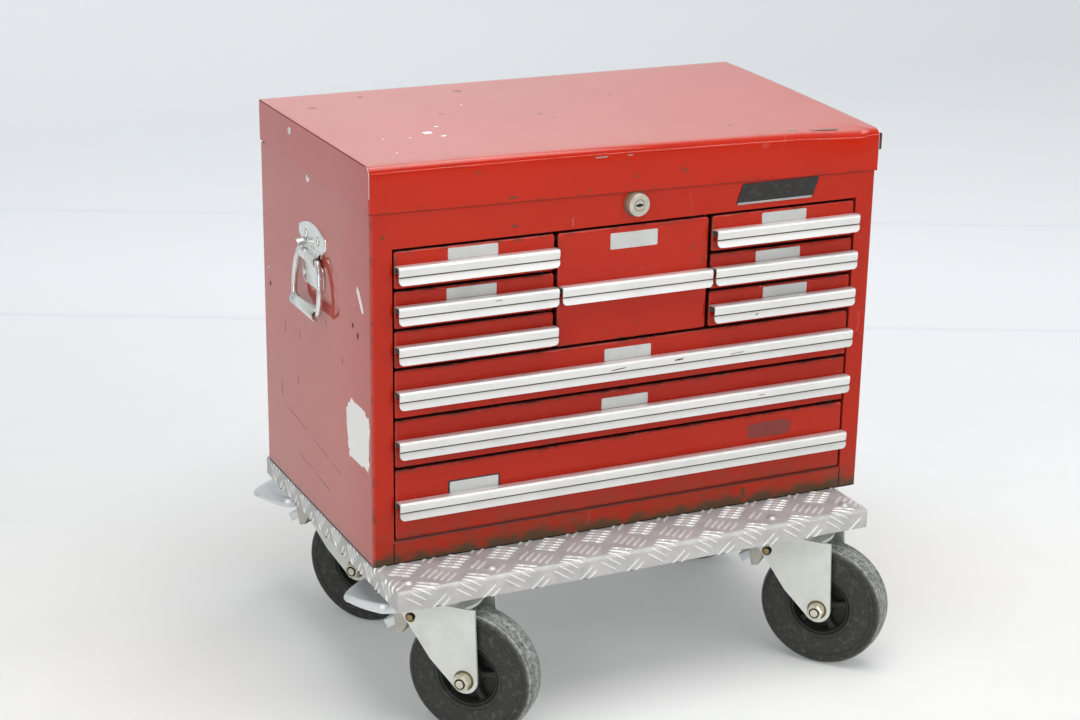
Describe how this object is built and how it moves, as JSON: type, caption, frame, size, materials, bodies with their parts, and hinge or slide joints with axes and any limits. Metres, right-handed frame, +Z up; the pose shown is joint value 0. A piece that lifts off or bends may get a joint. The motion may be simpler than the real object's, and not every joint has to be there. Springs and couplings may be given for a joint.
{
  "type": "rolling tool cabinet",
  "caption": "Lidded steel tool chest with rows of shallow drawers and full-width aluminium pulls, standing on a tread-plate dolly with braked swivel casters.",
  "frame": {"origin": "on the floor under the middle of the dolly deck", "axes": "+X to the right seen from the drawers, +Y to the back, +Z up"},
  "size_m": [0.6996, 0.5588, 0.687],
  "materials": {
    "red_paint": "worn gloss",
    "zinc_steel": "zinc plated",
    "tread_aluminium": "raised tread pattern",
    "pull_aluminium": "satin extrusion",
    "wheel_plastic": "moulded",
    "tyre_rubber": "worn"
  },
  "bodies": {
    "cabinet": {"deck_plate": "tread_aluminium", "caster_plates": "zinc_steel", "caster_bolts": "zinc_steel", "base_pan": "red_paint", "side_panel_left": "red_paint", "side_panel_right": "red_paint", "back_panel": "red_paint", "bottom_rail": "red_paint", "top_rail": "red_paint", "till_floor": "red_paint", "inner_walls": "red_paint", "drawer_channels": "zinc_steel", "lock_barrel": "zinc_steel", "handle_plates": "zinc_steel", "hinge_leaf_body": "zinc_steel"},
    "lid": {"lid_shell": "red_paint", "hinge_leaf_lid": "zinc_steel"},
    "lock_plug": {"lock_plug": "zinc_steel"},
    "bail_left": {"handle_bail_left": "zinc_steel"},
    "bail_right": {"handle_bail_right": "zinc_steel"},
    "drawer_left_top": {"drawer_left_top": "red_paint", "pull_left_top": "pull_aluminium"},
    "drawer_left_mid": {"drawer_left_mid": "red_paint", "pull_left_mid": "pull_aluminium"},
    "drawer_left_low": {"drawer_left_low": "red_paint", "pull_left_low": "pull_aluminium"},
    "drawer_centre": {"drawer_centre": "red_paint", "pull_centre": "pull_aluminium"},
    "drawer_right_top": {"drawer_right_top": "red_paint", "pull_right_top": "pull_aluminium"},
    "drawer_right_mid": {"drawer_right_mid": "red_paint", "pull_right_mid": "pull_aluminium"},
    "drawer_right_low": {"drawer_right_low": "red_paint", "pull_right_low": "pull_aluminium"},
    "drawer_wide_top": {"drawer_wide_top": "red_paint", "pull_wide_top": "pull_aluminium"},
    "drawer_wide_mid": {"drawer_wide_mid": "red_paint", "pull_wide_mid": "pull_aluminium"},
    "drawer_wide_deep": {"drawer_wide_deep": "red_paint", "pull_wide_deep": "pull_aluminium"},
    "caster_front_left": {"fork_front_left": "zinc_steel", "axle_front_left": "zinc_steel"},
    "brake_front_left": {"brake_front_left": "zinc_steel"},
    "wheel_front_left": {"rim_front_left": "wheel_plastic", "tyre_front_left": "tyre_rubber"},
    "caster_front_right": {"fork_front_right": "zinc_steel", "axle_front_right": "zinc_steel"},
    "brake_front_right": {"brake_front_right": "zinc_steel"},
    "wheel_front_right": {"rim_front_right": "wheel_plastic", "tyre_front_right": "tyre_rubber"},
    "caster_rear_left": {"fork_rear_left": "zinc_steel", "axle_rear_left": "zinc_steel"},
    "brake_rear_left": {"brake_rear_left": "zinc_steel"},
    "wheel_rear_left": {"rim_rear_left": "wheel_plastic", "tyre_rear_left": "tyre_rubber"},
    "caster_rear_right": {"fork_rear_right": "zinc_steel", "axle_rear_right": "zinc_steel"},
    "brake_rear_right": {"brake_rear_right": "zinc_steel"},
    "wheel_rear_right": {"rim_rear_right": "wheel_plastic", "tyre_rear_right": "tyre_rubber"}
  },
  "joints": [
    {"name": "lid_hinge", "type": "hinge", "parent": "cabinet", "child": "lid", "pos_m": [0.014, 0.2227, 0.635], "axis": [-1, 0, 0], "range_deg": [0, 95]},
    {"name": "lock_turn", "type": "hinge", "parent": "cabinet", "child": "lock_plug", "pos_m": [0.014, -0.1585, 0.614], "axis": [0, -1, 0], "range_deg": [0, 90]},
    {"name": "bail_left_swing", "type": "hinge", "parent": "cabinet", "child": "bail_left", "pos_m": [-0.3225, 0.0305, 0.536], "axis": [0, 1, 0], "range_deg": [0, 75]},
    {"name": "bail_right_swing", "type": "hinge", "parent": "cabinet", "child": "bail_right", "pos_m": [0.3505, 0.0305, 0.536], "axis": [0, -1, 0], "range_deg": [0, 75]},
    {"name": "drawer_left_top_slide", "type": "slide", "parent": "cabinet", "child": "drawer_left_top", "axis": [0, -1, 0], "range_m": [0, 0.28]},
    {"name": "drawer_left_mid_slide", "type": "slide", "parent": "cabinet", "child": "drawer_left_mid", "axis": [0, -1, 0], "range_m": [0, 0.28]},
    {"name": "drawer_left_low_slide", "type": "slide", "parent": "cabinet", "child": "drawer_left_low", "axis": [0, -1, 0], "range_m": [0, 0.28]},
    {"name": "drawer_centre_slide", "type": "slide", "parent": "cabinet", "child": "drawer_centre", "axis": [0, -1, 0], "range_m": [0, 0.28]},
    {"name": "drawer_right_top_slide", "type": "slide", "parent": "cabinet", "child": "drawer_right_top", "axis": [0, -1, 0], "range_m": [0, 0.28]},
    {"name": "drawer_right_mid_slide", "type": "slide", "parent": "cabinet", "child": "drawer_right_mid", "axis": [0, -1, 0], "range_m": [0, 0.28]},
    {"name": "drawer_right_low_slide", "type": "slide", "parent": "cabinet", "child": "drawer_right_low", "axis": [0, -1, 0], "range_m": [0, 0.28]},
    {"name": "drawer_wide_top_slide", "type": "slide", "parent": "cabinet", "child": "drawer_wide_top", "axis": [0, -1, 0], "range_m": [0, 0.28]},
    {"name": "drawer_wide_mid_slide", "type": "slide", "parent": "cabinet", "child": "drawer_wide_mid", "axis": [0, -1, 0], "range_m": [0, 0.28]},
    {"name": "drawer_wide_deep_slide", "type": "slide", "parent": "cabinet", "child": "drawer_wide_deep", "axis": [0, -1, 0], "range_m": [0, 0.28]},
    {"name": "swivel_front_left", "type": "hinge", "parent": "cabinet", "child": "caster_front_left", "pos_m": [-0.242, -0.171, 0.205], "axis": [0, 0, 1], "continuous": true},
    {"name": "wheel_front_left_spin", "type": "hinge", "parent": "caster_front_left", "child": "wheel_front_left", "pos_m": [-0.20887, -0.20845, 0.08], "axis": [0.749, 0.6626, 0], "continuous": true},
    {"name": "brake_front_left_press", "type": "hinge", "parent": "caster_front_left", "child": "brake_front_left", "pos_m": [-0.25525, -0.15602, 0.147], "axis": [-0.749, -0.6626, 0], "range_deg": [0, 10], "stiffness_Nm_per_rad": 20},
    {"name": "swivel_front_right", "type": "hinge", "parent": "cabinet", "child": "caster_front_right", "pos_m": [0.242, -0.171, 0.205], "axis": [0, 0, 1], "continuous": true},
    {"name": "wheel_front_right_spin", "type": "hinge", "parent": "caster_front_right", "child": "wheel_front_right", "pos_m": [0.27447, -0.20902, 0.08], "axis": [0.7604, 0.6494, 0], "continuous": true},
    {"name": "brake_front_right_press", "type": "hinge", "parent": "caster_front_right", "child": "brake_front_right", "pos_m": [0.22901, -0.15579, 0.147], "axis": [-0.7604, -0.6494, 0], "range_deg": [0, 10], "stiffness_Nm_per_rad": 20},
    {"name": "swivel_rear_left", "type": "hinge", "parent": "cabinet", "child": "caster_rear_left", "pos_m": [-0.242, 0.1755, 0.205], "axis": [0, 0, 1], "continuous": true},
    {"name": "wheel_rear_left_spin", "type": "hinge", "parent": "caster_rear_left", "child": "wheel_rear_left", "pos_m": [-0.21156, 0.13583, 0.08], "axis": [0.7934, 0.6088, 0], "continuous": true},
    {"name": "brake_rear_left_press", "type": "hinge", "parent": "caster_rear_left", "child": "brake_rear_left", "pos_m": [-0.25417, 0.19137, 0.147], "axis": [-0.7934, -0.6088, 0], "range_deg": [0, 10], "stiffness_Nm_per_rad": 20},
    {"name": "swivel_rear_right", "type": "hinge", "parent": "cabinet", "child": "caster_rear_right", "pos_m": [0.242, 0.1755, 0.205], "axis": [0, 0, 1], "continuous": true},
    {"name": "wheel_rear_right_spin", "type": "hinge", "parent": "caster_rear_right", "child": "wheel_rear_right", "pos_m": [0.27673, 0.13953, 0.08], "axis": [0.7193, 0.6947, 0], "continuous": true},
    {"name": "brake_rear_right_press", "type": "hinge", "parent": "caster_rear_right", "child": "brake_rear_right", "pos_m": [0.22811, 0.18989, 0.147], "axis": [-0.7193, -0.6947, 0], "range_deg": [0, 10], "stiffness_Nm_per_rad": 20}
  ]
}
